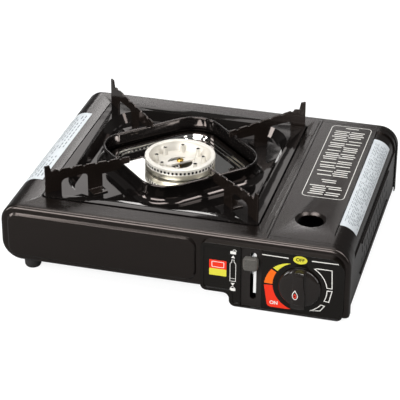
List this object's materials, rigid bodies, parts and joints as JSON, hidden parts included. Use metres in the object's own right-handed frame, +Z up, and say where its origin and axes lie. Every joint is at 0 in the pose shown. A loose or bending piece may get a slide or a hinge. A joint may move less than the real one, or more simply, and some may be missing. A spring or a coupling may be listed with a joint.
{
  "type": "camping stove",
  "caption": "Portable tabletop gas stove with an open burner, lift-off drip pan with folding-style pan supports, lidded cartridge bay, lock lever and igniter knob.",
  "frame": {"origin": "on the table under the middle of the whole object, knob included", "axes": "+X to the right along the width, +Y to the rear, +Z up; the controls face -Y"},
  "size_m": [0.34, 0.284, 0.104],
  "materials": {
    "case_paint": "semi-gloss black paint on pressed steel",
    "base_paint": "thin black paint on pressed steel",
    "zinc_steel": "bright zinc plate",
    "tinplate": "bright tinplate",
    "black_enamel": "glossy black enamel",
    "burner_aluminium": "die cast and turned",
    "tube_steel": "drawn tube",
    "brass": "turned",
    "die_cast_zinc": "as cast",
    "yellow_zinc": "yellow passivated zinc plate",
    "seal_rubber": "moulded",
    "cam_plastic": "moulded",
    "knob_plastic": "fine matte texture",
    "igniter_plastic": "moulded",
    "plunger_plastic": "moulded",
    "lead_sleeve": "silicone sleeve",
    "insulator_ceramic": "glazed white ceramic",
    "panel_plastic": "glossy black",
    "tab_plastic": "satin dark grey"
  },
  "bodies": {
    "stove": {"top_cover": "case_paint", "front_panel": "case_paint", "rear_panel": "case_paint", "base_plate": "base_paint", "bay_tray": "base_paint", "bay_partition": "zinc_steel", "cartridge_saddles": "zinc_steel", "burner_tray": "tinplate", "burner_head": "burner_aluminium", "burner_cup": "burner_aluminium", "burner_bridge": "burner_aluminium", "bridge_screw": "brass", "burner_screws": "zinc_steel", "mixing_tube": "tube_steel", "gas_jet": "brass", "regulator_body": "die_cast_zinc", "diaphragm_cover": "yellow_zinc", "cover_screws": "zinc_steel", "inlet_seal": "seal_rubber", "piezo_igniter": "igniter_plastic", "ignition_wire": "lead_sleeve", "electrode_insulator": "insulator_ceramic", "electrode": "zinc_steel", "control_panel": "panel_plastic", "slide_guide": "zinc_steel", "hinge_pin": "zinc_steel", "feet": "seal_rubber", "foot_screws": "zinc_steel"},
    "lid": {"lid": "case_paint"},
    "lever": {"lever_plate": "zinc_steel", "lever_tab": "tab_plastic"},
    "fork": {"push_fork": "zinc_steel"},
    "knob": {"knob": "knob_plastic", "valve_spindle": "brass", "igniter_cam": "cam_plastic"},
    "plunger": {"piezo_plunger": "plunger_plastic"},
    "pan": {"drip_pan": "black_enamel", "pan_support_front_left": "black_enamel", "pan_support_front_right": "black_enamel", "pan_support_rear_left": "black_enamel", "pan_support_rear_right": "black_enamel"}
  },
  "joints": [
    {"name": "lid_hinge", "type": "hinge", "parent": "stove", "child": "lid", "pos_m": [0.166, 0.007, 0.0075], "axis": [0, 1, 0], "range_deg": [0, 90]},
    {"name": "lever_slide", "type": "slide", "parent": "stove", "child": "lever", "axis": [0, 0, -1], "range_m": [0, 0.03]},
    {"name": "fork_slide", "type": "slide", "parent": "stove", "child": "fork", "axis": [0, -1, 0], "range_m": [0, 0.006]},
    {"name": "knob_turn", "type": "hinge", "parent": "stove", "child": "knob", "pos_m": [0.124, -0.132, 0.032], "axis": [0, -1, 0], "range_deg": [0, 130]},
    {"name": "plunger_slide", "type": "slide", "parent": "stove", "child": "plunger", "axis": [1, 0, 0], "range_m": [0, 0.00401]},
    {"name": "pan_lift", "type": "slide", "parent": "stove", "child": "pan", "axis": [0, 0, 1], "range_m": [0, 0.06]}
  ],
  "couplings": [
    {"joint": "fork_slide", "follows": "lever_slide", "ratio": 0.2},
    {"joint": "plunger_slide", "follows": "knob_turn", "m_per_rad": 0.001763}
  ]
}
